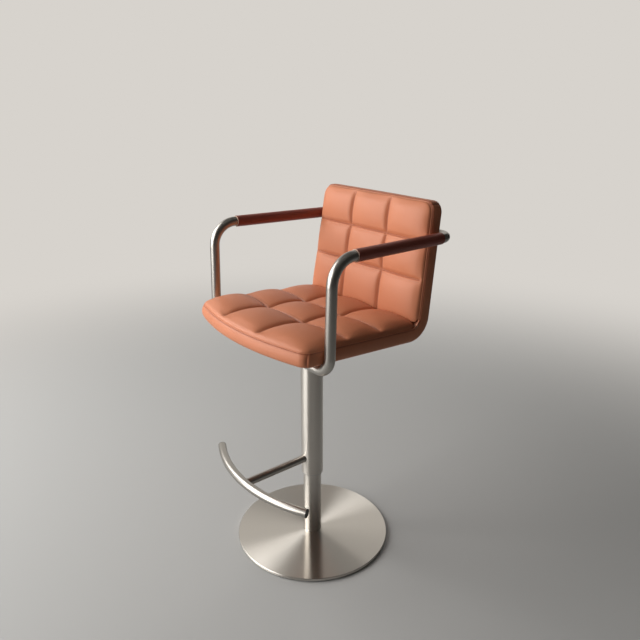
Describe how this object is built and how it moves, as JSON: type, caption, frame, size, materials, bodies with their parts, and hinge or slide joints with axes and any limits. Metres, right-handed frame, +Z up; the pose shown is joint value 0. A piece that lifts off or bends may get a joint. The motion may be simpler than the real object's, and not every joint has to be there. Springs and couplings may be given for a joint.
{
  "type": "adjustable stool",
  "caption": "Swivelling bar stool with gas-lift height adjustment, tubular armrests, footrest, round base plate and a tufted L-shaped seat shell.",
  "frame": {"origin": "centre of the base pad's underside, on the floor under the column's axis", "axes": "+Z up along the column; the sitter faces -Y, so the footrest is on -Y and the back on +Y; +X is the sitter's left"},
  "size_m": [0.515, 0.5005, 0.9661],
  "materials": {
    "brushed_steel": "satin",
    "black_plastic": "matte",
    "grey_plastic": "matte",
    "white_plastic": "matte",
    "zinc_steel": "satin",
    "bright_steel": "gloss",
    "black_steel": "satin",
    "sleeve_leather": "satin",
    "plywood": "matte",
    "tan_upholstery": "satin"
  },
  "bodies": {
    "base": {"base_plate": "brushed_steel", "base_pad": "black_plastic", "base_screws": "zinc_steel", "column_tube": "brushed_steel", "column_foot": "zinc_steel", "guide_bush": "black_plastic", "bearing_lower_race": "zinc_steel", "bearing_balls": "zinc_steel"},
    "spindle": {"bearing_upper_race": "zinc_steel", "piston_rod": "bright_steel", "rod_clip": "zinc_steel", "rod_buffer": "black_plastic", "piston": "black_plastic"},
    "seat": {"gas_cylinder": "black_steel", "cylinder_seal": "black_plastic", "valve_body": "white_plastic", "cover_tube": "brushed_steel", "cover_glide": "grey_plastic", "cover_collar": "black_steel", "foot_strut": "brushed_steel", "foot_bar": "brushed_steel", "foot_bar_plugs": "black_plastic", "seat_plate": "black_steel", "taper_socket": "black_steel", "seat_plate_screws": "zinc_steel", "lever_bracket": "black_steel", "lever_pin": "zinc_steel", "arm_tube_left": "brushed_steel", "arm_tube_right": "brushed_steel", "arm_sleeve_left": "sleeve_leather", "arm_sleeve_right": "sleeve_leather", "arm_seat_saddles": "black_steel", "arm_back_saddles": "black_steel", "saddle_screws": "zinc_steel", "arm_tube_plugs": "black_plastic", "shell_ply": "plywood", "ply_inserts": "zinc_steel", "shell_border": "tan_upholstery", "seat_cushion": "tan_upholstery", "back_cushion": "tan_upholstery"},
    "lever": {"release_lever": "black_steel", "lever_grip": "black_plastic"},
    "release_button": {"release_pin": "bright_steel"}
  },
  "joints": [
    {"name": "seat_swivel", "type": "hinge", "parent": "base", "child": "spindle", "pos_m": [0, 0, 0.05], "axis": [0, 0, 1], "continuous": true},
    {"name": "seat_lift", "type": "slide", "parent": "spindle", "child": "seat", "axis": [0, 0, 1], "range_m": [-0.11, 0.11]},
    {"name": "lever_lift", "type": "hinge", "parent": "seat", "child": "lever", "pos_m": [-0.046, 0, 0.621], "axis": [0, 1, 0], "range_deg": [0, 3.7], "stiffness_Nm_per_rad": 2},
    {"name": "pin_press", "type": "slide", "parent": "seat", "child": "release_button", "axis": [0, 0, -1], "range_m": [0, 0.003], "stiffness_N_per_m": 400}
  ],
  "couplings": [
    {"joint": "pin_press", "follows": "lever_lift", "m_per_rad": 0.046}
  ]
}
